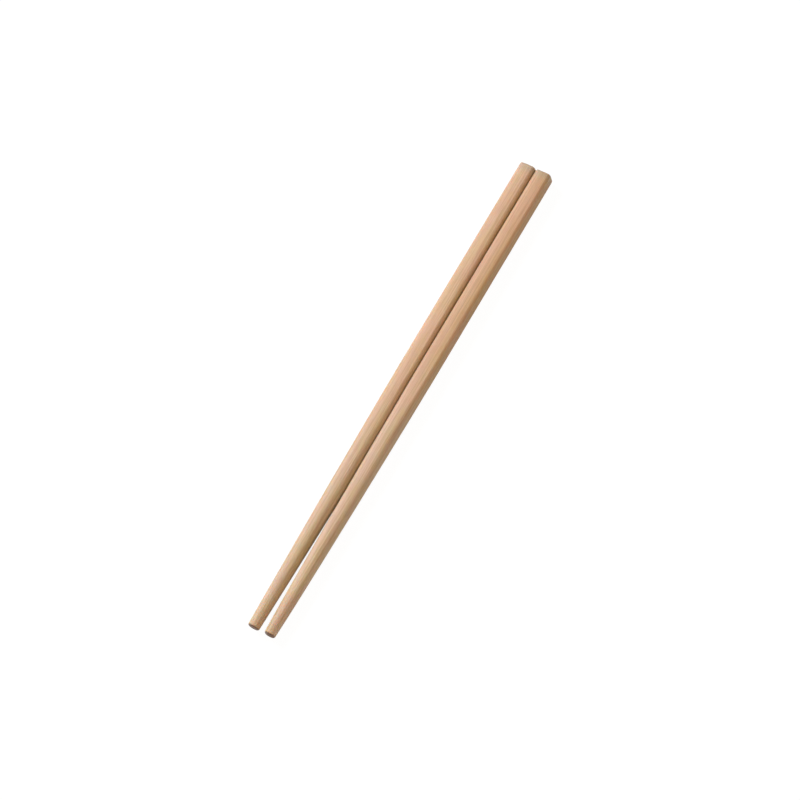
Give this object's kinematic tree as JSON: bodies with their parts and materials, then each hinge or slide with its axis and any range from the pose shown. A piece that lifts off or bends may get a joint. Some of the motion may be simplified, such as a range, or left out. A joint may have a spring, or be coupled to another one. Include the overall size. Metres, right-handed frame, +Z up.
{
  "type": "pair of bamboo chopsticks",
  "caption": "Bamboo chopsticks with a square, round-edged parallel handle and a long bowed taper that ends round, lying side by side.",
  "frame": {"origin": "on the table, under the middle of the pair as it lies", "axes": "+Z up from the table, +Y along the sticks towards their butts, +X from the left stick to the right one"},
  "size_m": [0.0156, 0.24, 0.0078],
  "materials": {
    "bamboo": "satin"
  },
  "bodies": {
    "root": {"left_chopstick": "bamboo", "right_chopstick": "bamboo"}
  },
  "joints": []
}
